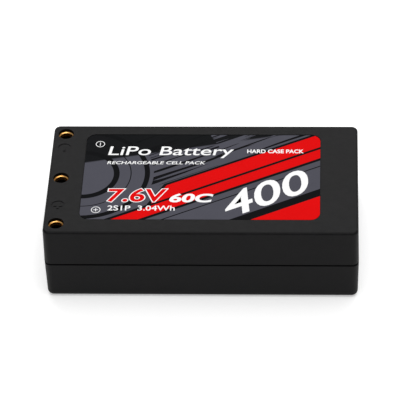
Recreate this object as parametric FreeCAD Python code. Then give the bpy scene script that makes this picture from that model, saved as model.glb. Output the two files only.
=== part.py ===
import FreeCAD, Part
import math
import os
from FreeCAD import Vector

# A two-cell lithium polymer battery pack in a moulded hard case.  Millimetres.
# Origin at the centre of the base, +X away from the sockets, +Z up through the label.

# Case: two moulded shells that meet at a seam, widest there and drafted both ways.
case_length = 48.0
case_width = 25.5
case_height = 13.2
seam_height = 6.8
draft_angle = 1.0
corner_radius = 1.1
inner_corner_radius = 0.4
top_edge_radius = 0.4
bottom_edge_radius = 0.9
wall = 0.9
top_thickness = 1.0
floor_thickness = 0.9

# Seam: a tongue on the lower shell stands in a rabbet of the upper one, behind a shadow gap.
seam_gap = 0.22
seam_gap_depth = 0.25
seam_chamfer = 0.06
tongue_thickness = 0.4
tongue_height = 0.8
tongue_side_gap = 0.05
tongue_end_gap = 0.1

# Sockets: three tubes for 2 mm bullet plugs, in a row across one end.
socket_end_inset = 2.06        # from the end of the case to the row
socket_side_inset = 2.25       # from the side of the case to the outer two
socket_bore = 2.0
socket_wall = 0.18
socket_recess = 0.55           # from the top of the case down to the rim
socket_floor = 2.15            # from the top of the board up to the bottom of the bore
socket_lead_in_width = 0.14    # of the cone that guides the plug
socket_lead_in_depth = 0.11
socket_clearance = 0.02
socket_boss_wall = 0.7
socket_boss_lift = 1.6         # from the top of the rabbet up to the bosses
socket_tail_diameter = 1.0
socket_tail_length = 1.6       # below the top of the board

# Polarity marks moulded beside the outer sockets.
mark_radius = 1.05
mark_depth = 0.08
mark_bar_length = 1.35
mark_bar_width = 0.36
negative_mark_offset = 3.4     # from the socket towards the middle
positive_mark_offset = 4.1

# Label, in a shallow recess of the top.
label_socket_margin = 5.5
label_end_margin = 5.95
label_front_margin = 3.25
label_rear_margin = 2.42
label_corner_radius = 1.5
label_thickness = 0.12
label_recess = 0.15
label_clearance = 0.1

# Terminal board, on two posts and two ledges under the sockets, copper side down.
socket_bay = 5.7               # room at the socket end for the board and the tab bends
board_gap = 0.1
board_thickness = 0.8
board_height = 1.3             # from the floor to the bare underside
board_corner = 0.5
board_hole_clearance = 0.1
copper_thickness = 0.1
copper_edge = 0.3              # from the edge of the board to the copper
copper_ring = 0.45             # round each hole and slot
copper_space = 0.4             # between neighbouring nets
post_radius = 0.8
post_inset = 0.35              # from the edge of the board to the edge of a post
ledge_depth = 0.8              # under the end of the board
ledge_width = 3.0
tail_solder_height = 0.55
tab_solder_height = 0.3
solder_spread = 0.3            # at the copper
solder_tip = 0.1               # at the thin end

# Cells: two soft pouches, stacked, with their tabs towards the sockets.
cell_side_gap = 0.3
pouch_film = 0.12
pouch_radius = 0.8
side_fold = 0.3                # folded side seals, on each side of a pouch
terrace_length = 1.6
terrace_trim = 1.6             # the terrace is this much narrower at each side
stack_gap = 0.05
tab_room = 0.8                 # inside the pouch, between the end wall and the electrodes
tab_thickness = 0.15
tab_width = 3.5
tab_side_inset = 5.4           # from the side of the cell to the centre of a tab
tab_bend_radius = 0.3
tab_drop_inset = 0.9           # from the card to the lower cell's tab drops
tab_drop_pitch = 1.3           # from those to the upper cell's
tab_slot_clearance = 0.15
tab_end = 0.35                 # of tab that stands through the copper
sealant_thickness = 0.08
sealant_margin = 0.6
sealant_overhang = 0.3

# Packing pieces.
cell_tape_thickness = 0.15
wrap_thickness = 0.06
wrap_width = 14.0
foam_thickness = 0.5
foam_margin = 1.2
end_foam_thickness = 0.6
card_thickness = 0.2
card_gap = 0.05
card_rib = 0.5
card_rib_depth = 0.8
terrace_tape_thickness = 0.06
terrace_tape_margin = 0.25

# Levels and places that follow from the sizes above.
draft_slope = math.tan(math.radians(draft_angle))
upper_height = case_height - seam_height
largest_lean = draft_slope * max(seam_height, upper_height)
room_end = case_length / 2 - wall - largest_lean
room_side = case_width / 2 - wall - largest_lean
room_top = case_height - top_thickness
tongue_top = seam_height + tongue_height
rabbet_top = tongue_top + tongue_end_gap

socket_x = -case_length / 2 + socket_end_inset
socket_y = case_width / 2 - socket_side_inset
socket_radius = socket_bore / 2 + socket_wall
socket_rim = case_height - socket_recess

board_bottom = floor_thickness + board_height
board_top = board_bottom + board_thickness
copper_bottom = board_bottom - copper_thickness
card_left = -room_end + socket_bay
card_right = card_left + card_thickness
board_left = -room_end + board_gap
board_right = card_left - board_gap
board_side = room_side - board_gap

terrace_end = card_right + card_gap
cell_start = terrace_end + terrace_length
cell_end = room_end - end_foam_thickness
cell_side = room_side - cell_side_gap - wrap_thickness
packing = 2 * foam_thickness + 2 * wrap_thickness + cell_tape_thickness
cell_thickness = (room_top - floor_thickness - packing) / 2
lower_cell_bottom = floor_thickness + foam_thickness + wrap_thickness
upper_cell_bottom = lower_cell_bottom + cell_thickness + cell_tape_thickness
upper_cell_top = upper_cell_bottom + cell_thickness
stack_start = cell_start + pouch_film + tab_room
tab_offset = cell_side - tab_side_inset

lower_drop = card_left - tab_drop_inset
upper_drop = lower_drop - tab_drop_pitch
tab_bottom = copper_bottom - tab_end
sealant_height = tab_thickness + 2 * sealant_thickness
sealant_width = tab_width + 2 * sealant_margin
terrace_thickness = sealant_height + 2 * pouch_film


def box_between(low, high):
    size = [high[i] - low[i] for i in range(3)]
    return Part.makeBox(size[0], size[1], size[2], Vector(*low))


def upright(radius, x, y, low, high):
    return Part.makeCylinder(radius, high - low, Vector(x, y, low))


def fuse_all(shapes):
    return shapes[0].fuse(shapes[1:]).removeSplitter() if len(shapes) > 1 else shapes[0]


def rounded_outline(half_length, half_width, radius, z, x=0.0, y=0.0):
    """A closed rectangle with round corners, level at z."""
    corners = [
        (x + half_length - radius, y + half_width - radius, 0),
        (x - half_length + radius, y + half_width - radius, 90),
        (x - half_length + radius, y - half_width + radius, 180),
        (x + half_length - radius, y - half_width + radius, 270),
    ]
    arcs = []
    for centre_x, centre_y, start in corners:
        angles = [math.radians(start + turn) for turn in (0, 45, 90)]
        arcs.append([Vector(centre_x + radius * math.cos(a), centre_y + radius * math.sin(a), z)
                     for a in angles])
    edges = []
    for index, arc in enumerate(arcs):
        following = arcs[(index + 1) % 4]
        edges.append(Part.Arc(*arc).toShape())
        edges.append(Part.LineSegment(arc[2], following[0]).toShape())
    return Part.Wire(edges)


def rounded_plate(half_length, half_width, radius, low, high, x=0.0, y=0.0):
    face = Part.Face(rounded_outline(half_length, half_width, radius, low, x, y))
    return face.extrude(Vector(0, 0, high - low))


def rounded_box(low, high, radius):
    block = box_between(low, high)
    return block.makeFillet(radius, block.Edges)


def drafted_block(inset, radius, z_from, z_to):
    """A block inside the case's outline, leaning in as it leaves the seam."""
    outlines = []
    for z in (z_from, z_to):
        lean = draft_slope * abs(z - seam_height)
        half_length = case_length / 2 - inset - lean
        half_width = case_width / 2 - inset - lean
        outlines.append(rounded_outline(half_length, half_width, radius - lean, z))
    return Part.makeLoft(outlines, True, True)


def edges_at(shape, z):
    return [edge for edge in shape.Edges if all(abs(v.Z - z) < 1e-6 for v in edge.Vertexes)]


def socket_places():
    return [("negative", socket_y), ("balance", 0.0), ("positive", -socket_y)]


def mark_places():
    """Each polarity mark's place across the case, and whether it is a plus."""
    return [(socket_y - negative_mark_offset, False), (-socket_y + positive_mark_offset, True)]


def polarity_mark(y, is_plus):
    """What is cut away around a raised bar, or a raised cross, in a round dish."""
    low = case_height - mark_depth
    dish = upright(mark_radius, socket_x, y, low, case_height)
    half_bar = mark_bar_width / 2
    half_length = mark_bar_length / 2
    across = box_between((socket_x - half_bar, y - half_length, low),
                         (socket_x + half_bar, y + half_length, case_height))
    along = box_between((socket_x - half_length, y - half_bar, low),
                        (socket_x + half_length, y + half_bar, case_height))
    return dish.cut(across.fuse(along) if is_plus else across)


def label_outline(shrink):
    """The label's recess, drawn in by shrink: its centre and its half sizes."""
    left = -case_length / 2 + label_socket_margin
    right = case_length / 2 - label_end_margin
    front = -case_width / 2 + label_front_margin
    rear = case_width / 2 - label_rear_margin
    centre = ((left + right) / 2, (front + rear) / 2)
    return centre, ((right - left) / 2 - shrink, (rear - front) / 2 - shrink)


def label_plate(shrink, low, high):
    (x, y), (half_length, half_width) = label_outline(shrink)
    return rounded_plate(half_length, half_width, label_corner_radius - shrink, low, high, x, y)


def socket_channel(y, low, high):
    return upright(socket_radius + socket_clearance, socket_x, y, low, high)


def make_case_top():
    outside = drafted_block(0, corner_radius, seam_height, case_height)
    outside = outside.makeFillet(top_edge_radius, edges_at(outside, case_height))
    outside = outside.makeChamfer(seam_chamfer, edges_at(outside, seam_height))
    rabbet_inset = wall - tongue_thickness - tongue_side_gap
    shell = outside.cut([
        drafted_block(wall, inner_corner_radius, seam_height, room_top),
        drafted_block(rabbet_inset, corner_radius - rabbet_inset, seam_height, rabbet_top),
    ])
    bosses = []
    for name, y in socket_places():
        boss = upright(socket_radius + socket_boss_wall, socket_x, y,
                       rabbet_top + socket_boss_lift, room_top + top_thickness / 2)
        bosses.append(boss.common(outside))
    shell = shell.fuse(bosses)
    cutters = [socket_channel(y, seam_height, case_height) for name, y in socket_places()]
    cutters += [polarity_mark(y, is_plus) for y, is_plus in mark_places()]
    cutters.append(label_plate(-label_clearance, case_height - label_recess, case_height))
    return shell.cut(cutters).removeSplitter()


def board_stands():
    """What the board rests on: posts at its card side, ledges on the wall at its other end."""
    reach = post_inset + post_radius
    post_x = board_right - reach
    stands = []
    for side in (-1, 1):
        stands.append(upright(post_radius, post_x, side * (board_side - reach),
                              floor_thickness / 2, board_bottom))
        middle = side * socket_y / 2
        stands.append(box_between((-room_end - wall / 2, middle - ledge_width / 2, floor_thickness / 2),
                                  (board_left + ledge_depth, middle + ledge_width / 2, board_bottom)))
    return stands


def card_ribs():
    """A rib on each side wall, which keeps the card off the cells."""
    left = card_right + card_gap
    ribs = []
    for side in (-1, 1):
        reach = sorted((side * (room_side - card_rib_depth), side * (room_side + wall / 2)))
        ribs.append(box_between((left, reach[0], floor_thickness / 2),
                                (left + card_rib, reach[1], seam_height)))
    return ribs


def make_case_bottom():
    lip = seam_height - seam_gap
    outside = drafted_block(0, corner_radius, lip, 0)
    outside = outside.makeFillet(bottom_edge_radius, edges_at(outside, 0))
    outside = outside.makeChamfer(seam_chamfer, edges_at(outside, lip))
    outside = outside.fuse(drafted_block(seam_gap_depth, corner_radius - seam_gap_depth, seam_height, lip))
    tongue_inset = wall - tongue_thickness
    tongue = drafted_block(tongue_inset, corner_radius - tongue_inset, seam_height, tongue_top)
    tongue = tongue.cut(drafted_block(wall, inner_corner_radius, seam_height, tongue_top))
    shell = outside.cut(drafted_block(wall, inner_corner_radius, seam_height, floor_thickness))
    shell = shell.fuse([tongue] + board_stands() + card_ribs())
    channels = [socket_channel(y, board_top, tongue_top) for name, y in socket_places()]
    return shell.cut(channels).removeSplitter()


def make_label():
    low = case_height - label_recess
    return label_plate(0, low, low + label_thickness)


def make_socket(y):
    bore_bottom = board_top + socket_floor
    tube = upright(socket_radius, socket_x, y, board_top, socket_rim)
    tail = upright(socket_tail_diameter / 2, socket_x, y, board_top - socket_tail_length, board_top)
    bore = upright(socket_bore / 2, socket_x, y, bore_bottom, socket_rim)
    lead_in = Part.makeCone(socket_bore / 2, socket_bore / 2 + socket_lead_in_width, socket_lead_in_depth,
                            Vector(socket_x, y, socket_rim - socket_lead_in_depth))
    return tube.fuse(tail).cut([bore, lead_in]).removeSplitter()


def tab_places():
    """Each tab's name, drop and side, and the bottom of the cell that it comes from."""
    return [
        ("lower_positive", lower_drop, -tab_offset, lower_cell_bottom),
        ("lower_negative", lower_drop, tab_offset, lower_cell_bottom),
        ("upper_positive", upper_drop, -tab_offset, upper_cell_bottom),
        ("upper_negative", upper_drop, tab_offset, upper_cell_bottom),
    ]


def board_openings(low, high):
    """Holes for the socket tails and slots for the tabs, cut through low to high."""
    radius = socket_tail_diameter / 2 + board_hole_clearance
    cutters = [upright(radius, socket_x, y, low, high) for name, y in socket_places()]
    half_slot = tab_thickness / 2 + tab_slot_clearance
    half_width = tab_width / 2 + tab_slot_clearance
    for name, drop, y, cell_bottom in tab_places():
        cutters.append(box_between((drop - half_slot, y - half_width, low),
                                   (drop + half_slot, y + half_width, high)))
    return cutters


def make_board():
    board = box_between((board_left, -board_side, board_bottom), (board_right, board_side, board_top))
    corners = [edge for edge in board.Edges
               if abs(edge.Vertexes[0].Z - edge.Vertexes[1].Z) > board_thickness / 2]
    board = board.makeChamfer(board_corner, corners)
    return board.cut(board_openings(board_bottom, board_top))


def copper_sheet(rectangles):
    """Joined rectangles of copper under the board, each (left, right, front, rear)."""
    sheets = [box_between((left, front, copper_bottom), (right, rear, board_bottom))
              for left, right, front, rear in rectangles]
    return fuse_all(sheets).cut(board_openings(copper_bottom, board_bottom))


def make_traces():
    """The copper of the three nets: both poles, and the link between the two cells."""
    left = board_left + copper_edge
    right = board_right - copper_edge
    side = board_side - copper_edge
    ring = socket_tail_diameter / 2 + board_hole_clearance + copper_ring
    socket_right = socket_x + ring
    divide = (lower_drop + upper_drop) / 2
    upper_left = upper_drop - tab_thickness / 2 - tab_slot_clearance - copper_ring
    upper_right = divide - copper_space / 2
    lower_left = divide + copper_space / 2
    tab_inner = tab_offset - tab_width / 2 - copper_ring
    tab_outer = tab_offset + tab_width / 2 + copper_ring
    way_inner = tab_outer + copper_space
    way_outer = board_side - post_inset - 2 * post_radius - copper_space / 2
    return {
        "positive_trace": [
            (left, socket_right, -side, -way_inner),
            (left, right, -way_outer, -way_inner),
            (lower_left, right, -way_outer, -tab_inner),
        ],
        "link_trace": [
            (left, right, -ring, ring),
            (upper_left, upper_right, -tab_outer, ring),
            (lower_left, right, -ring, tab_outer),
        ],
        "negative_trace": [
            (left, socket_right, way_inner, side),
            (left, upper_right, way_inner, way_outer),
            (upper_left, upper_right, tab_inner, way_outer),
        ],
    }


def make_socket_solder():
    """A small cone of solder round each socket tail."""
    radius = socket_tail_diameter / 2
    low = copper_bottom - tail_solder_height
    joints = []
    for name, y in socket_places():
        cone = Part.makeCone(radius + solder_tip, radius + solder_spread, tail_solder_height,
                             Vector(socket_x, y, low))
        joints.append(cone.cut(upright(radius, socket_x, y, low, copper_bottom)))
    return Part.makeCompound(joints)


def solder_ring(drop, y, spread, z):
    half_slot = tab_thickness / 2 + spread
    half_width = tab_width / 2 + spread
    corners = [Vector(drop + along * half_slot, y + across * half_width, z)
               for along, across in ((-1, -1), (1, -1), (1, 1), (-1, 1), (-1, -1))]
    return Part.makePolygon(corners)


def make_tab_solder():
    """A low bank of solder round each tab, closing its slot."""
    joints = []
    for name, drop, y, cell_bottom in tab_places():
        rings = [solder_ring(drop, y, tab_slot_clearance + solder_spread, copper_bottom),
                 solder_ring(drop, y, solder_tip, copper_bottom - tab_solder_height)]
        bank = Part.makeLoft(rings, True, True)
        tab = box_between((drop - tab_thickness / 2, y - tab_width / 2, tab_bottom),
                          (drop + tab_thickness / 2, y + tab_width / 2, copper_bottom))
        joints.append(bank.cut(tab))
    return Part.makeCompound(joints)


def make_tab(drop, y, cell_bottom):
    """A flat strip out of the cell, bent down once and through its slot in the board."""
    middle = cell_bottom + cell_thickness / 2
    half = tab_thickness / 2
    inner = tab_bend_radius
    outer = tab_bend_radius + tab_thickness
    centre = Vector(drop - half + outer, y - tab_width / 2, middle + half - outer)
    slant = math.sqrt(0.5)

    def around(radius, left, up):
        return centre + Vector(-radius * left, 0, radius * up)

    def level(x, z):
        return Vector(x, centre.y, z)

    outline = [
        Part.LineSegment(level(stack_start, middle + half), around(outer, 0, 1)),
        Part.Arc(around(outer, 0, 1), around(outer, slant, slant), around(outer, 1, 0)),
        Part.LineSegment(around(outer, 1, 0), level(drop - half, tab_bottom)),
        Part.LineSegment(level(drop - half, tab_bottom), level(drop + half, tab_bottom)),
        Part.LineSegment(level(drop + half, tab_bottom), around(inner, 1, 0)),
        Part.Arc(around(inner, 1, 0), around(inner, slant, slant), around(inner, 0, 1)),
        Part.LineSegment(around(inner, 0, 1), level(stack_start, middle - half)),
        Part.LineSegment(level(stack_start, middle - half), level(stack_start, middle + half)),
    ]
    face = Part.Face(Part.Wire([piece.toShape() for piece in outline]))
    return face.extrude(Vector(0, tab_width, 0))


def sealant_block(y, cell_bottom, start, end):
    middle = cell_bottom + cell_thickness / 2
    return box_between((start, y - sealant_width / 2, middle - sealant_height / 2),
                       (end, y + sealant_width / 2, middle + sealant_height / 2))


def make_sealant(cell_bottom):
    """The strips of sealing film that grip a cell's two tabs in its terrace."""
    middle = cell_bottom + cell_thickness / 2
    strips = []
    for y in (-tab_offset, tab_offset):
        strip = sealant_block(y, cell_bottom, terrace_end - sealant_overhang,
                              cell_start + pouch_film + tab_room / 2)
        tab = box_between((terrace_end - 1, y - tab_width / 2, middle - tab_thickness / 2),
                          (stack_start, y + tab_width / 2, middle + tab_thickness / 2))
        strips.append(strip.cut(tab))
    return Part.makeCompound(strips)


def make_pouch(cell_bottom):
    """The laminate bag: a hollow body, a sealed terrace at the tabs, and folded side seals."""
    top = cell_bottom + cell_thickness
    middle = cell_bottom + cell_thickness / 2
    body_side = cell_side - side_fold
    body = rounded_box((cell_start, -body_side, cell_bottom), (cell_end, body_side, top), pouch_radius)
    terrace_side = cell_side - terrace_trim
    terrace = box_between((terrace_end, -terrace_side, middle - terrace_thickness / 2),
                          (cell_start + pouch_radius, terrace_side, middle + terrace_thickness / 2))
    folds = []
    for side in (-1, 1):
        inner = side * (body_side - pouch_film / 2)
        outer = side * cell_side
        folds.append(box_between((cell_start + pouch_radius, min(inner, outer), cell_bottom + pouch_radius),
                                 (cell_end - pouch_radius, max(inner, outer), top - pouch_radius)))
    hollow = rounded_box((cell_start + pouch_film, -body_side + pouch_film, cell_bottom + pouch_film),
                         (cell_end - pouch_film, body_side - pouch_film, top - pouch_film),
                         pouch_radius - pouch_film)
    slots = [sealant_block(y, cell_bottom, terrace_end, cell_start + pouch_film + pouch_radius)
             for y in (-tab_offset, tab_offset)]
    return body.fuse([terrace] + folds).cut([hollow] + slots).removeSplitter()


def make_electrodes(cell_bottom):
    """The stack of plates and separator that fills a pouch."""
    inset = pouch_film + stack_gap
    side = cell_side - side_fold - inset
    return rounded_box((stack_start, -side, cell_bottom + inset),
                       (cell_end - inset, side, cell_bottom + cell_thickness - inset),
                       pouch_radius - inset)


def make_terrace_tape(cell_bottom):
    low = cell_bottom + cell_thickness / 2 + terrace_thickness / 2
    side = cell_side - terrace_trim - terrace_tape_margin
    return box_between((terrace_end + terrace_tape_margin, -side, low),
                       (cell_start - terrace_tape_margin, side, low + terrace_tape_thickness))


def make_cell_tape():
    low = lower_cell_bottom + cell_thickness
    return box_between((cell_start + foam_margin, -cell_side + foam_margin, low),
                       (cell_end - foam_margin, cell_side - foam_margin, low + cell_tape_thickness))


def make_cell_wrap():
    """A band of film round both cells at their middle."""
    centre = (cell_start + cell_end) / 2
    left = centre - wrap_width / 2
    right = centre + wrap_width / 2
    inside = box_between((left, -cell_side, lower_cell_bottom), (right, cell_side, upper_cell_top))
    outside = box_between(
        (left, -cell_side - wrap_thickness, lower_cell_bottom - wrap_thickness),
        (right, cell_side + wrap_thickness, upper_cell_top + wrap_thickness))
    return outside.cut(inside)


def make_foam(low):
    side = cell_side - foam_margin
    return box_between((cell_start + foam_margin, -side, low),
                       (cell_end - foam_margin, side, low + foam_thickness))


def make_end_foam():
    side = cell_side - foam_margin
    return box_between((cell_end, -side, lower_cell_bottom + foam_margin),
                       (cell_end + end_foam_thickness, side, upper_cell_top - foam_margin))


def make_card():
    """The insulating card between the cells and the sockets, slotted for the four tabs."""
    card = box_between((card_left, -room_side + board_gap, floor_thickness + card_gap),
                       (card_right, room_side - board_gap, room_top - card_gap))
    half_width = sealant_width / 2 + tab_slot_clearance
    half_height = sealant_height / 2 + tab_slot_clearance
    slots = []
    for name, drop, y, cell_bottom in tab_places():
        middle = cell_bottom + cell_thickness / 2
        slots.append(box_between((card_left, y - half_width, middle - half_height),
                                 (card_right, y + half_width, middle + half_height)))
    return card.cut(slots)


def build():
    nodes = {
        "case_top": make_case_top(),
        "case_bottom": make_case_bottom(),
        "label": make_label(),
        "terminal_board": make_board(),
        "socket_solder": make_socket_solder(),
        "tab_solder": make_tab_solder(),
        "cell_tape": make_cell_tape(),
        "cell_wrap": make_cell_wrap(),
        "bottom_foam_pad": make_foam(floor_thickness),
        "top_foam_pad": make_foam(room_top - foam_thickness),
        "end_foam_pad": make_end_foam(),
        "insulating_card": make_card(),
    }
    for name, y in socket_places():
        nodes[name + "_socket"] = make_socket(y)
    for name, rectangles in make_traces().items():
        nodes[name] = copper_sheet(rectangles)
    for name, drop, y, cell_bottom in tab_places():
        nodes[name + "_tab"] = make_tab(drop, y, cell_bottom)
    for name, cell_bottom in (("lower", lower_cell_bottom), ("upper", upper_cell_bottom)):
        nodes[name + "_pouch"] = make_pouch(cell_bottom)
        nodes[name + "_electrode_stack"] = make_electrodes(cell_bottom)
        nodes[name + "_tab_sealant"] = make_sealant(cell_bottom)
        nodes[name + "_terrace_tape"] = make_terrace_tape(cell_bottom)
    return nodes


os.makedirs("parts", exist_ok=True)
for node, shape in build().items():
    shape.exportStep(os.path.join("parts", node + ".step"))
    print(node, len(shape.Solids), round(shape.Volume, 3), shape.isValid())
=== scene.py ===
import math
import bmesh
import bpy
from mathutils import Matrix, Vector


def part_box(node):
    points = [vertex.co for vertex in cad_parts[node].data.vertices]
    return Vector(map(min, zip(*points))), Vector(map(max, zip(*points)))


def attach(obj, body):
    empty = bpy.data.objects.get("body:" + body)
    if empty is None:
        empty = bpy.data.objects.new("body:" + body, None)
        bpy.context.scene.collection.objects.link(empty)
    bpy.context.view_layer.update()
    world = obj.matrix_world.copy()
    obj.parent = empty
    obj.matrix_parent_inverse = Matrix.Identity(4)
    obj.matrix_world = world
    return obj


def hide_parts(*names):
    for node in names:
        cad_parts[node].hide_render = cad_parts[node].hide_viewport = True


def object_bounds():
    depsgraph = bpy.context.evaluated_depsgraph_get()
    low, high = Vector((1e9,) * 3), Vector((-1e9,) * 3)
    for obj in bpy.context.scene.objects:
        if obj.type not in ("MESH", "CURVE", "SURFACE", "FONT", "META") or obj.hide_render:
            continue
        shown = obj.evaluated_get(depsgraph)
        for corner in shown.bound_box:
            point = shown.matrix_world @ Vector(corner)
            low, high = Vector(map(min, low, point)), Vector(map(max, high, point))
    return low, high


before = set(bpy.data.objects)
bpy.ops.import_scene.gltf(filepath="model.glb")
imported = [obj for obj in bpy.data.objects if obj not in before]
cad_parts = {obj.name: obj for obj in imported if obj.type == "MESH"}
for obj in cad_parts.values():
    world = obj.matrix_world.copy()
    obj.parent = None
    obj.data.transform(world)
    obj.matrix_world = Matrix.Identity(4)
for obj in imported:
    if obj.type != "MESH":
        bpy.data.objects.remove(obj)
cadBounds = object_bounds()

scene = bpy.context.scene
mm = 0.001                                           # sizes below are in millimetres
white = (1.0, 1.0, 1.0, 1.0)


def srgb(red, green, blue):                          # 0 to 255 picker values to a linear colour
    linear = [((c / 255 + 0.055) / 1.055) ** 2.4 for c in (red, green, blue)]
    return (*linear, 1.0)


def boxOf(node):                                     # low, high and middle of a CAD node, in mm
    low, high = (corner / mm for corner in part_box(node))
    return low, high, (low + high) / 2


# A socket in a material. Sums on it add Math nodes.

class Wire:
    def __init__(self, tree, socket=None):
        self.tree = tree
        self.socket = socket

    def node(self, kind, settings=None, inputs=None, out=0):
        made = self.tree.nodes.new(kind)
        for name, value in (settings or {}).items():
            setattr(made, name, value)
        for name, value in (inputs or {}).items():
            if isinstance(value, Wire):
                self.tree.links.new(value.socket, made.inputs[name])
            else:
                made.inputs[name].default_value = value
        return Wire(self.tree, made.outputs[out])

    def math(self, operation, *values, clamp=False):
        settings = {"operation": operation, "use_clamp": clamp}
        return self.node("ShaderNodeMath", settings, dict(enumerate(values)))

    def __add__(self, other):
        return self.math("ADD", self, other)

    __radd__ = __add__

    def __sub__(self, other):
        return self.math("SUBTRACT", self, other)

    def __rsub__(self, other):
        return self.math("SUBTRACT", other, self)

    def __mul__(self, other):
        return self.math("MULTIPLY", self, other)

    def __abs__(self):
        return self.math("ABSOLUTE", self)

    def least(self, other):
        return self.math("MINIMUM", self, other)

    def most(self, other):
        return self.math("MAXIMUM", self, other)

    def level(self, low, high):                      # 0 at low, 1 at high, held outside them
        return self.math("MULTIPLY_ADD", self, 1 / (high - low), -low / (high - low), clamp=True)

    def sway(self, reach):                           # a noise about 0.5 becomes one about 0
        return (self - 0.5) * reach

    def mask(self, soft=0.03):                       # 1 where a distance in mm is positive
        return self.level(-soft / 2, soft / 2)

    def mix(self, low, high):                        # self picks between two colours
        return self.node("ShaderNodeMix", {"data_type": "RGBA"}, {0: self, 6: low, 7: high}, out=2)

    def split(self):
        return [self.node("ShaderNodeSeparateXYZ", None, {0: self}, out=i) for i in range(3)]

    def join(self, y, z):
        return self.node("ShaderNodeCombineXYZ", None, {0: self, 1: y, 2: z})

    def stretch(self, x, y, z):
        settings = {"operation": "MULTIPLY"}
        return self.node("ShaderNodeVectorMath", settings, {0: self, 1: (x, y, z)})

    def length(self):
        return self.node("ShaderNodeVectorMath", {"operation": "LENGTH"}, {0: self}, out=1)

    def noise(self, size, detail=3.0, roughness=0.6):    # size of a blotch, in mm
        inputs = {"Vector": self, "Scale": 1 / size, "Detail": detail, "Roughness": roughness}
        return self.node("ShaderNodeTexNoise", None, inputs)

    def cells(self, size):                           # distance to the wall of a cell
        settings = {"feature": "DISTANCE_TO_EDGE"}
        return self.node("ShaderNodeTexVoronoi", settings, {"Vector": self, "Scale": 1 / size})

    def bump(self, depth):                           # self is a height, depth in mm
        return self.node("ShaderNodeBump", None, {"Height": self, "Distance": depth * mm})


def inMillimetres(tree, centre=(0, 0, 0)):           # object coordinates in mm, from a centre in mm
    coords = Wire(tree).node("ShaderNodeTexCoord", out=3)
    inputs = {"Vector": coords, "Location": [-c for c in centre], "Scale": (1 / mm, 1 / mm, 1 / mm)}
    return coords.node("ShaderNodeMapping", None, inputs)


def newMaterial(name, fixed):                        # fixed: what is the same all over
    material = bpy.data.materials.new(name)
    material.use_nodes = True
    shader = material.node_tree.nodes["Principled BSDF"]
    for socket, value in fixed.items():
        shader.inputs[socket].default_value = value
    return material, shader


def drive(shader, colour, roughness, normal):
    links = {"Base Color": colour, "Roughness": roughness, "Normal": normal}
    for socket, wire in links.items():
        wire.tree.links.new(wire.socket, shader.inputs[socket])


def dress(material, *nodes):                         # CAD nodes whose shape stays
    for node in nodes:
        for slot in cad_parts[node].material_slots:
            slot.material = material


def put(name, bm, material, sharp=35):         # a finished mesh becomes a piece
    mesh = bpy.data.meshes.new(name)
    bm.to_mesh(mesh)
    bm.free()
    mesh.materials.append(material)
    for face in mesh.polygons:
        face.use_smooth = True
    mesh.set_sharp_from_angle(angle=math.radians(sharp))
    piece = bpy.data.objects.new(name, mesh)
    scene.collection.objects.link(piece)
    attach(piece, "root")
    return piece


# Camera, floor and light

view = {
    "place": (0.018985, -0.305684, 0.279414),        # metres
    "azimuth": 3.439,
    "elevation": 41.651,
    "roll": -2.101,
    "lens": 227.83,
    "sensor": 36,
    "nearest": 0.01,
}


def makeCamera():
    lens = bpy.data.cameras.new("camera")
    lens.lens = view["lens"]
    lens.sensor_width = view["sensor"]
    lens.clip_start = view["nearest"]
    camera = bpy.data.objects.new("camera", lens)
    scene.collection.objects.link(camera)
    turn = Matrix.Rotation(math.radians(view["azimuth"]), 4, "Z")
    tilt = Matrix.Rotation(math.radians(90 - view["elevation"]), 4, "X")
    roll = Matrix.Rotation(math.radians(view["roll"]), 4, "Z")
    camera.matrix_world = Matrix.Translation(view["place"]) @ turn @ tilt @ roll
    scene.camera = camera


studio = {
    "floorSize": 3.0,
    "floorColour": (0.9, 0.9, 0.9, 1.0),
    "floorDrop": 0.01,                               # mm under the base
    "floorGlow": 0.36,
    "floorSpecular": 0.1,
    "floorRoughness": 0.85,
    "paper": 4.0,                                    # mm, its faint patches
    "paperTone": 0.06,
    "paperDull": 0.1,
    "paperDepth": 0.01,
    "world": 0.32,
    "softboxes": {                                   # place, size in metres, radiance, aimed at the object
        "overheadSoftbox": ((0.05, -0.05, 0.62), (0.7, 0.6), 2.1),
        "backSoftbox": ((-0.04, 0.62, 0.52), (0.9, 0.36), 2.6),
    },
}


def makeStudio():
    bm = bmesh.new()
    bmesh.ops.create_grid(bm, x_segments=1, y_segments=1, size=studio["floorSize"] / 2)
    bmesh.ops.translate(bm, verts=bm.verts, vec=(0, 0, cadBounds[0][2] - studio["floorDrop"] * mm))
    mesh = bpy.data.meshes.new("floor")
    bm.to_mesh(mesh)
    bm.free()
    floor = bpy.data.objects.new("floor", mesh)
    scene.collection.objects.link(floor)
    fixed = {"Specular IOR Level": studio["floorSpecular"], "Emission Color": white,
             "Emission Strength": studio["floorGlow"]}
    material, shader = newMaterial("paleFloor", fixed)
    paper = inMillimetres(material.node_tree).noise(studio["paper"])
    drive(shader, (paper * studio["paperTone"]).mix(studio["floorColour"], white),
          studio["floorRoughness"] + paper * studio["paperDull"], paper.bump(studio["paperDepth"]))
    mesh.materials.append(material)

    world = bpy.data.worlds.new("studio")
    world.use_nodes = True
    world.node_tree.nodes["Background"].inputs["Color"].default_value = white
    world.node_tree.nodes["Background"].inputs["Strength"].default_value = studio["world"]
    scene.world = world
    for name, (place, (wide, deep), radiance) in studio["softboxes"].items():
        lamp = bpy.data.lights.new(name, "AREA")
        lamp.shape = "RECTANGLE"
        lamp.size = wide
        lamp.size_y = deep
        lamp.energy = radiance * math.pi * wide * deep
        softbox = bpy.data.objects.new(name, lamp)
        scene.collection.objects.link(softbox)
        softbox.location = place
        softbox.rotation_euler = Vector(place).to_track_quat("Z", "Y").to_euler()
    scene.view_settings.view_transform = "Standard"


makeCamera()
makeStudio()
print("camera, floor and light are in")


# Case: black moulded plastic with a fine spark texture, edges lighter in colour for wear and a painted rim
# highlight, and a little polish along its edges

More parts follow.
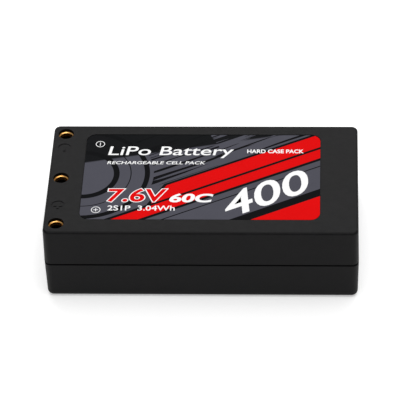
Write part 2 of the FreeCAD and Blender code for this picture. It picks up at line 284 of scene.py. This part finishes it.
case = {
    "colour": srgb(17, 17, 18),
    "warmColour": srgb(20, 18, 19),
    "speckColour": srgb(12, 12, 13),
    "edgeColour": srgb(40, 40, 42),
    "edgeWidth": 0.4,
    "wearAndHighlightShare": 0.35,                                    # how far the edges go to their lighter colour, worn and with a painted rim highlight
    "wearPolish": 0.12,
    "patch": 9.0,
    "patchLevel": (0.35, 0.65),
    "grain": 0.14,
    "grainLevel": (0.3, 0.7),
    "grainDepth": 0.012,
    "grainSway": 0.12,                               # sways are in roughness
    "scuff": 1.3,
    "scuffStretch": (1, 1.7, 1.4),
    "scuffLevel": (0.42, 0.7),
    "scuffSway": 0.2,
    "scuffRelief": 0.5,                              # of the grain's
    "roughness": 0.47,
    "specular": 0.105,
}


def makeCase():
    material, shader = newMaterial("caseShell", {"Specular IOR Level": case["specular"]})
    low, high = (Vector(corner) / mm for corner in cadBounds)
    half = (high - low) / 2
    place = inMillimetres(material.node_tree, (low + high) / 2)
    x, y, z = place.split()
    a, b, c = half.x - abs(x), half.y - abs(y), half.z - abs(z)
    toEdge = a.least(b).most(a.most(b).least(c))     # the middle one of the three distances
    grain = place.noise(case["grain"], 2.0)
    scuff = place.stretch(*case["scuffStretch"]).noise(case["scuff"], detail=5.0, roughness=0.7)
    broad = place.noise(case["patch"], 2.0).level(*case["patchLevel"])
    # lighter near the edges, in noisy patches: partly wear, partly a painted rim highlight
    wearAndHighlight = (1 - toEdge.level(0.0, case["edgeWidth"])) * scuff.level(*case["scuffLevel"])
    plain = broad.mix(case["colour"], case["warmColour"])
    base = grain.level(*case["grainLevel"]).mix(case["speckColour"], plain)
    uneven = scuff.sway(case["scuffSway"]) + grain.sway(case["grainSway"])
    drive(shader, (wearAndHighlight * case["wearAndHighlightShare"]).mix(base, case["edgeColour"]),
          case["roughness"] + uneven - wearAndHighlight * case["wearPolish"],
          (grain + scuff * case["scuffRelief"]).bump(case["grainDepth"]))
    dress(material, "case_top", "case_bottom")


makeCase()
print("case is done")


# Label: printed film with plain slanted stripes and rings. Points are in mm from its middle.

label = {
    "slate": srgb(79, 79, 88),
    "charcoal": srgb(17, 18, 20),
    "ink": srgb(11, 12, 14),
    "red": srgb(223, 0, 3),
    "shadeEdge": ((-18.3, 3.2), (12.0, 9.9)),        # charcoal above this line
    "shadeBlur": 0.3,
    "riseAngle": 27.5,                               # degrees, of the stripes
    "cut": ((-6.6, -4.6), (-3.9, 0.6)),              # where the short stripes begin
    "stripes": [                                     # from and to across them, ink, reach past the cut
        (-5.0, 1.05, "ink", 0.5),
        (-5.0, -2.1, "ink", None),                   # None: not cut
        (-4.5, -2.6, "red", None),
        (-2.15, 0.6, "red", 0.0),
        (-6.3, -6.1, "ink", None),
        (-12.4, -10.9, "ink", None),
        (-30.0, -12.4, "red", None),
    ],
    "streaksFrom": 1.2,                              # they lie above this, across the stripes
    "streakStart": 10.9,                             # and outside this radius
    "streaks": {"along": 0.055, "across": 1.5, "slice": 3.0, "level": (0.55, 0.56)},
    "fineStreaks": {"along": 0.05, "across": 2.3, "slice": 7.0, "level": (0.56, 0.57)},
    "fineFrom": 5.5,                                 # the fine ones start here, along the stripes
    "hub": (-18.3, 0.4),                             # middle of the rings
    "rings": [(4.7, 5.6), (7.3, 7.45), (9.5, 10.3)],
    "press": 0.16,                                   # mm, grain of the ink
    "wave": 5.0,                                     # mm, waves of the film
    "mottleLevel": (0.3, 0.7),
    "mottle": 0.05,
    "pressSway": 0.12,
    "waveSway": 0.08,
    "pressRelief": 0.4,
    "depth": 0.01,
    "roughness": 0.38,
    "specular": 0.014,
}


def above(place, start, end):                        # distance in mm to the left of start to end
    along = (Vector(end) - Vector(start)).normalized()
    out = Vector((-along.y, along.x))
    settings = {"operation": "DOT_PRODUCT"}
    inputs = {0: place, 1: (out.x, out.y, 0.0)}
    return place.node("ShaderNodeVectorMath", settings, inputs, out=1) - out.dot(Vector(start))


def makeStreaks(along, across, look):                # a noise drawn out along the stripes, cut to streaks
    drawn = (along * look["along"]).join(across * look["across"], look["slice"])
    return drawn.noise(1.0, 1.0).level(*look["level"])


def makeLabel():
    middle = boxOf("label")[2]
    material, shader = newMaterial("labelPrint", {"Specular IOR Level": label["specular"]})
    place = inMillimetres(material.node_tree, middle)
    u, v = place.split()[:2]
    rise = math.radians(label["riseAngle"])
    along = u * math.cos(rise) + v * math.sin(rise)
    across = v * math.cos(rise) - u * math.sin(rise)

    shade = above(place, *label["shadeEdge"]).mask(label["shadeBlur"])
    art = shade.mix(label["slate"], label["charcoal"])
    hub = Vector((*label["hub"], 0))
    fromHub = place.node("ShaderNodeVectorMath", {"operation": "SUBTRACT"}, {0: place, 1: hub})
    radius = fromHub.length()
    upper = (across - label["streaksFrom"]).mask() * (radius - label["streakStart"]).mask()
    streaks = makeStreaks(along, across, label["streaks"])
    art = (streaks * upper).mix(art, label["ink"])
    fineStreaks = makeStreaks(along, across, label["fineStreaks"])
    art = (fineStreaks * upper * (along - label["fineFrom"]).mask()).mix(art, label["slate"])
    for low, high in label["rings"]:
        art = (radius - low).least(high - radius).mask().mix(art, label["ink"])
    cutStart, cutEnd = label["cut"]
    fromCut = above(place, cutEnd, cutStart)         # positive to the right of the cut
    for low, high, ink, reach in label["stripes"]:
        stripe = (across - low).least(high - across)
        if reach is not None:
            stripe = stripe.least(fromCut + reach)
        art = stripe.mask().mix(art, label[ink])

    press = place.noise(label["press"], 2.0)
    wave = place.stretch(1, 1, 0).noise(label["wave"], 2.0)
    uneven = press.level(*label["mottleLevel"]) + wave.level(*label["mottleLevel"])
    drive(shader, (uneven * label["mottle"]).mix(art, label["ink"]),
          label["roughness"] + press.sway(label["pressSway"]) + wave.sway(label["waveSway"]),
          (press * label["pressRelief"] + wave).bump(label["depth"]))
    dress(material, "label")


makeLabel()
print("label is printed")


# Print that stands on the label: thin layers of ink

inks = {                                             # full colour, and where it is thin
    "whiteInk": (srgb(250, 250, 250), srgb(238, 238, 238)),
    "redInk": (srgb(223, 0, 3), srgb(210, 1, 5)),
}
inkLook = {"press": 0.13, "thin": (0.45, 0.8), "pressDull": 0.12, "wave": 2.5, "waveDull": 0.08,
           "roughness": 0.34, "depth": 0.004}
layers = {"low": (-0.01, 0.01), "high": (-0.01, 0.022)}    # mm from the top of the label film
words = [                                            # spot: left and bottom, from the label's middle
    {"name": "print_type", "words": "LiPo Battery", "spot": (-14.9, 4.35), "size": (19.4, 2.75),
     "lean": 0.16, "bold": 0.008, "ink": "whiteInk"},
    {"name": "print_class", "words": "RECHARGEABLE CELL PACK", "spot": (-14.8, 2.85), "size": (15.2, 0.72),
     "lean": 0.2, "bold": 0.012, "ink": "whiteInk"},
    {"name": "print_shell", "words": "HARD CASE PACK", "spot": (6.9, 5.55), "size": (8.8, 0.9),
     "lean": 0.0, "bold": 0.026, "ink": "whiteInk"},
    {"name": "print_voltage", "words": "7.6V", "spot": (-14.4, -5.95), "size": (8.9, 3.05),
     "lean": 0.1, "bold": 0.02, "ink": "redInk", "edge": 0.055, "edgeInk": "whiteInk"},
    {"name": "print_discharge", "words": "60C", "spot": (-4.9, -6.05), "size": (6.5, 2.05),
     "lean": 0.22, "bold": 0.035, "ink": "whiteInk"},
    {"name": "print_cells", "words": "2S1P  3.04Wh", "spot": (-14.1, -7.95), "size": (10.3, 1.15),
     "lean": 0.0, "bold": 0.012, "ink": "whiteInk"},
    {"name": "print_capacity", "words": "400", "spot": (4.1, -9.9), "size": (12.6, 5.6),
     "lean": -0.1, "rise": 0.52, "bold": 0.012, "ink": "whiteInk"},
]
signs = {"print_minus": (-16.15, 7.65), "print_plus": (-15.85, -7.8)}
signSize = {"outer": 0.72, "inner": 0.615, "bar": (0.11, 0.76), "segments": 40}


def makeInk(name):
    full, thin = inks[name]
    material, shader = newMaterial(name, {"Specular IOR Level": label["specular"]})
    place = inMillimetres(material.node_tree)
    press = place.noise(inkLook["press"], 2.0)
    wave = place.noise(inkLook["wave"], 2.0)
    drive(shader, press.level(*inkLook["thin"]).mix(full, thin),
          inkLook["roughness"] + press * inkLook["pressDull"] + wave * inkLook["waveDull"],
          press.bump(inkLook["depth"]))
    return material


inkMaterials = {name: makeInk(name) for name in inks}


def raiseLayer(bm, layer):                           # a flat shape becomes a thin closed layer of ink
    top = boxOf("label")[1].z
    low, high = (top + offset for offset in layers[layer])
    bmesh.ops.remove_doubles(bm, verts=bm.verts, dist=1e-5)
    bmesh.ops.translate(bm, verts=bm.verts, vec=(0, 0, low))
    grown = bmesh.ops.extrude_face_region(bm, geom=bm.faces[:])["geom"]
    moved = [v for v in grown if isinstance(v, bmesh.types.BMVert)]
    bmesh.ops.translate(bm, verts=moved, vec=(0, 0, high - low))
    bmesh.ops.recalc_face_normals(bm, faces=bm.faces)
    bmesh.ops.scale(bm, verts=bm.verts, vec=(mm, mm, mm))


def flatWords(text, bold):                           # drawn one unit high, in the built-in font
    curve = bpy.data.curves.new("lettering", "FONT")
    curve.body = text
    curve.offset = bold
    curve.resolution_u = 5
    drawn = bpy.data.objects.new("lettering", curve)
    scene.collection.objects.link(drawn)
    bpy.context.view_layer.update()
    shown = drawn.evaluated_get(bpy.context.evaluated_depsgraph_get())
    mesh = bpy.data.meshes.new_from_object(shown)
    bm = bmesh.new()
    bm.from_mesh(mesh)
    bpy.data.objects.remove(drawn)
    bpy.data.meshes.remove(mesh)
    return bm


def slanted(look):                                   # onto the label, leaning and rising
    middle = boxOf("label")[2]
    slant = Matrix.Identity(4)
    slant[0][1] = look["lean"]
    slant[1][0] = look.get("rise", 0.0)
    return Matrix.Translation((middle.x + look["spot"][0], middle.y + look["spot"][1], 0)) @ slant


def printWords(look):
    bm = flatWords(look["words"], look["bold"])
    low = Vector([min(v.co[i] for v in bm.verts) for i in range(2)])
    high = Vector([max(v.co[i] for v in bm.verts) for i in range(2)])
    wide, tall = look["size"]
    fit = Matrix.Diagonal((wide / (high.x - low.x), tall / (high.y - low.y), 1, 1))
    place = slanted(look) @ fit @ Matrix.Translation((-low.x, -low.y, 0))
    bmesh.ops.transform(bm, matrix=place, verts=bm.verts)
    raiseLayer(bm, "high")
    put(look["name"], bm, inkMaterials[look["ink"]])
    if "edge" in look:
        bm = flatWords(look["words"], look["edge"])
        bmesh.ops.transform(bm, matrix=place, verts=bm.verts)
        raiseLayer(bm, "low")
        put(look["name"] + "_edge", bm, inkMaterials[look["edgeInk"]])


def addBar(bm, wide, deep, right=0.0):               # right: how far its middle is from the sign's
    bar = bmesh.ops.create_grid(bm, x_segments=1, y_segments=1, size=0.5)["verts"]
    bmesh.ops.scale(bm, verts=bar, vec=(wide, deep, 1))
    bmesh.ops.translate(bm, verts=bar, vec=(right, 0, 0))


def printSign(name, spot):
    bm = bmesh.new()
    for circle in ("outer", "inner"):
        bmesh.ops.create_circle(bm, segments=signSize["segments"], radius=signSize[circle])
    bmesh.ops.bridge_loops(bm, edges=bm.edges[:])
    wide, tall = signSize["bar"]
    addBar(bm, wide, tall)
    if name == "print_plus":
        arm = (tall - wide) / 2
        for side in (-1, 1):
            addBar(bm, arm, wide, side * (wide + arm) / 2)
    middle = boxOf("label")[2]
    bmesh.ops.translate(bm, verts=bm.verts, vec=(middle.x + spot[0], middle.y + spot[1], 0))
    raiseLayer(bm, "high")
    put(name, bm, inkMaterials["whiteInk"])


for look in words:
    printWords(look)
for name, spot in signs.items():
    printSign(name, spot)
print("lettering and polarity signs are on")


# Sockets: gilt brass tubes, bright at the mouth, with painted shade making the colour dark down the bore,
# which is also rougher

socket = {
    "gold": srgb(242, 160, 66),
    "paleGold": srgb(255, 210, 136),
    # painted shade down the bore: its colour, then the depths below the rim where it begins and is full
    "deep": srgb(14, 8, 6),
    "brightDepth": 0.35,
    "dullDepth": 0.75,
    "turning": (0.2, 0.2, 6.0),                      # fine rings left by the lathe
    "turningDull": 0.12,
    "patch": 0.5,
    "patchLevel": (0.35, 0.7),
    "patchRelief": 0.3,
    "roughness": 0.24,
    "deepDull": 0.35,
    "depth": 0.006,
}


def makeSockets():
    rim = boxOf("balance_socket")[1].z
    material, shader = newMaterial("socketGold", {"Metallic": 1.0})
    place = inMillimetres(material.node_tree, (0, 0, rim))
    turned = place.stretch(*socket["turning"]).noise(1.0, 2.0)
    patches = place.noise(socket["patch"])
    # painted shade: the colour goes dark below the mouth of the bore, and the roughness rises with it
    deep = (0 - place.split()[2]).level(socket["brightDepth"], socket["dullDepth"])
    gold = patches.level(*socket["patchLevel"]).mix(socket["gold"], socket["paleGold"])
    drive(shader, deep.mix(gold, socket["deep"]),
          socket["roughness"] + turned * socket["turningDull"] + deep * socket["deepDull"],
          (turned + patches * socket["patchRelief"]).bump(socket["depth"]))
    dress(material, "negative_socket", "balance_socket", "positive_socket")


makeSockets()
print("sockets are gilt")


# Finishes of what is inside. Each is two noises: light and dark colour, roughness from and to,
# size of patch and grain, depth of relief, and how the grain is drawn out along an axis.

finishes = {
    "boardLaminate": {"light": srgb(34, 92, 52), "dark": srgb(18, 62, 34), "roughness": (0.3, 0.5),
                      "patch": 3.0, "grain": 0.25, "depth": 0.01, "draw": (1, 1, 1), "fixed": {},
                      "nodes": ["terminal_board"]},
    "traceCopper": {"light": srgb(222, 138, 96), "dark": srgb(150, 78, 48), "roughness": (0.25, 0.5),
                    "patch": 1.5, "grain": 0.12, "depth": 0.006, "draw": (1, 1, 1),
                    "fixed": {"Metallic": 1.0},
                    "nodes": ["negative_trace", "link_trace", "positive_trace"]},
    "solder": {"light": srgb(206, 208, 210), "dark": srgb(140, 142, 146), "roughness": (0.18, 0.45),
               "patch": 0.8, "grain": 0.15, "depth": 0.02, "draw": (1, 1, 1),
               "fixed": {"Metallic": 1.0}, "nodes": ["socket_solder", "tab_solder"]},
    "pouchLaminate": {"light": srgb(206, 209, 214), "dark": srgb(158, 162, 170), "roughness": (0.24, 0.42),
                      "patch": 4.0, "grain": 0.4, "depth": 0.03, "draw": (0.5, 1.4, 1),
                      "fixed": {"Metallic": 0.85}, "nodes": ["lower_pouch", "upper_pouch"]},
    "tabAluminium": {"light": srgb(216, 218, 220), "dark": srgb(168, 170, 174), "roughness": (0.25, 0.42),
                     "patch": 1.5, "grain": 0.12, "depth": 0.006, "draw": (0.15, 2, 1),
                     "fixed": {"Metallic": 1.0}, "nodes": ["lower_positive_tab", "upper_positive_tab"]},
    "tabNickel": {"light": srgb(208, 202, 188), "dark": srgb(150, 144, 132), "roughness": (0.2, 0.4),
                  "patch": 1.5, "grain": 0.12, "depth": 0.006, "draw": (0.15, 2, 1),
                  "fixed": {"Metallic": 1.0}, "nodes": ["lower_negative_tab", "upper_negative_tab"]},
    "tabSealant": {"light": srgb(226, 224, 214), "dark": srgb(190, 186, 172), "roughness": (0.4, 0.6),
                   "patch": 0.8, "grain": 0.15, "depth": 0.01, "draw": (1, 1, 1),
                   "fixed": {"Specular IOR Level": 0.4},
                   "nodes": ["lower_tab_sealant", "upper_tab_sealant"]},
    "polyimideFilm": {"light": srgb(206, 132, 34), "dark": srgb(160, 92, 18), "roughness": (0.16, 0.34),
                      "patch": 3.0, "grain": 0.5, "depth": 0.015, "draw": (1, 0.5, 1),
                      "fixed": {"Coat Weight": 0.5, "Coat Roughness": 0.15},
                      "nodes": ["lower_terrace_tape", "upper_terrace_tape", "cell_wrap"]},
    "doubleSidedTape": {"light": srgb(236, 236, 230), "dark": srgb(206, 204, 194), "roughness": (0.5, 0.75),
                        "patch": 1.2, "grain": 0.1, "depth": 0.012, "draw": (1, 1, 1), "fixed": {},
                        "nodes": ["cell_tape"]},
    "fishPaper": {"light": srgb(96, 104, 92), "dark": srgb(66, 74, 64), "roughness": (0.6, 0.85),
                  "patch": 2.0, "grain": 0.12, "depth": 0.02, "draw": (1, 0.3, 1.5), "fixed": {},
                  "nodes": ["insulating_card"]},
}

# How both noises add up to a tone, and the patches' share of the relief
blend = {"level": (0.3, 0.7), "patch": 0.6, "grain": 0.4, "relief": 0.6}


def makeFinish(name, look):
    material, shader = newMaterial(name, look["fixed"])
    place = inMillimetres(material.node_tree)
    broad = place.noise(look["patch"], 4.0)
    grain = place.stretch(*look["draw"]).noise(look["grain"], 3.0)
    tone = broad.level(*blend["level"]) * blend["patch"] + grain.level(*blend["level"]) * blend["grain"]
    low, high = look["roughness"]
    drive(shader, tone.mix(look["dark"], look["light"]), low + tone * (high - low),
          (grain + broad * blend["relief"]).bump(look["depth"]))
    dress(material, *look["nodes"])


for name, look in finishes.items():
    makeFinish(name, look)


electrodes = {
    "copper": srgb(176, 104, 70),
    "graphite": srgb(34, 34, 38),
    "separator": srgb(214, 214, 208),
    "layer": 0.34,
    "foil": 0.06,
    "film": 0.05,
    "blur": 0.01,
    "wave": 3.0,
    "waveStretch": (1, 1, 0.2),
    "waveSway": 0.08,                                # mm
    "grain": 0.1,
    "grainTone": 0.3,
    "grainDull": 0.3,
    "grainRelief": 0.05,
    "roughness": 0.55,
    "specular": 0.25,
    "depth": 0.08,
}


def makeElectrodes():                                # sheets in a stack, seen at its edges
    material, shader = newMaterial("electrodeStack", {"Specular IOR Level": electrodes["specular"]})
    place = inMillimetres(material.node_tree)
    grain = place.noise(electrodes["grain"])
    wave = place.stretch(*electrodes["waveStretch"]).noise(electrodes["wave"])
    wavy = place.split()[2] + wave.sway(electrodes["waveSway"])
    toFoil = wavy.math("PINGPONG", wavy, electrodes["layer"] / 2)
    foil = (electrodes["foil"] / 2 - toFoil).mask(electrodes["blur"])
    film = (toFoil - (electrodes["layer"] - electrodes["film"]) / 2).mask(electrodes["blur"])
    colour = film.mix(foil.mix(electrodes["graphite"], electrodes["copper"]), electrodes["separator"])
    drive(shader, (grain * electrodes["grainTone"]).mix(colour, electrodes["graphite"]),
          electrodes["roughness"] + grain * electrodes["grainDull"],
          (toFoil + grain * electrodes["grainRelief"]).bump(electrodes["depth"]))
    dress(material, "lower_electrode_stack", "upper_electrode_stack")


makeElectrodes()
print("cells, board and tapes are finished")


# Foam pads: cut strips, their edges rounded and drawn in where the case presses on them

pads = {
    "colour": srgb(48, 49, 52),
    "wallColour": srgb(86, 88, 92),
    "cell": 0.3,
    "cellWall": 0.18,                                # as a share of the cell
    "cellDepth": 0.05,
    "patch": 4.0,
    "patchTone": 0.3,
    "patchDull": 0.15,
    "roughness": 0.8,
    "specular": 0.2,
    "sheen": 0.2,
    "round": 0.16,
    "roundSegments": 3,
    "drawIn": 0.22,
    "cuts": 9,
    "fill": 0.75,
    "pieces": {"bottom_foam": "bottom_foam_pad", "top_foam": "top_foam_pad", "end_foam": "end_foam_pad"},
}


def makeFoam():
    fixed = {"Specular IOR Level": pads["specular"], "Sheen Weight": pads["sheen"]}
    material, shader = newMaterial("padFoam", fixed)
    place = inMillimetres(material.node_tree)
    wall = place.cells(pads["cell"]).level(0.0, pads["cellWall"])
    broad = place.noise(pads["patch"])
    colour = wall.mix(pads["wallColour"], pads["colour"])
    drive(shader, (broad * pads["patchTone"]).mix(colour, pads["wallColour"]),
          pads["roughness"] + broad * pads["patchDull"], (1 - wall).bump(pads["cellDepth"]))
    return material


def makePad(name, node, material):
    low, high, middle = boxOf(node)
    half = (high - low) / 2
    thin = min(range(3), key=lambda axis: half[axis])
    bm = bmesh.new()
    bmesh.ops.create_cube(bm, size=2)
    bmesh.ops.scale(bm, verts=bm.verts, vec=half)
    bmesh.ops.bevel(bm, geom=bm.edges[:], offset=pads["round"], offset_type="OFFSET", affect="EDGES",
                    segments=pads["roundSegments"], profile=0.5, material=-1)
    long = [e for e in bm.edges if e.calc_length() > 2 * half[thin]]
    bmesh.ops.subdivide_edges(bm, edges=long, cuts=pads["cuts"], use_grid_fill=True)
    flat = [axis for axis in range(3) if axis != thin]
    for vert in bm.verts:                            # the sides pull in between the corners
        share = [vert.co[axis] / half[axis] for axis in range(3)]
        for axis, other in (flat, reversed(flat)):
            vert.co[axis] -= share[axis] ** 3 * (1 - share[other] ** 2) * pads["drawIn"]
    bmesh.ops.recalc_face_normals(bm, faces=bm.faces)
    bmesh.ops.translate(bm, verts=bm.verts, vec=middle)
    bmesh.ops.scale(bm, verts=bm.verts, vec=(mm, mm, mm))
    pad = put(name, bm, material, sharp=180)
    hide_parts(node)


foamMaterial = makeFoam()
for name, node in pads["pieces"].items():
    makePad(name, node, foamMaterial)
print("foam pads are in")
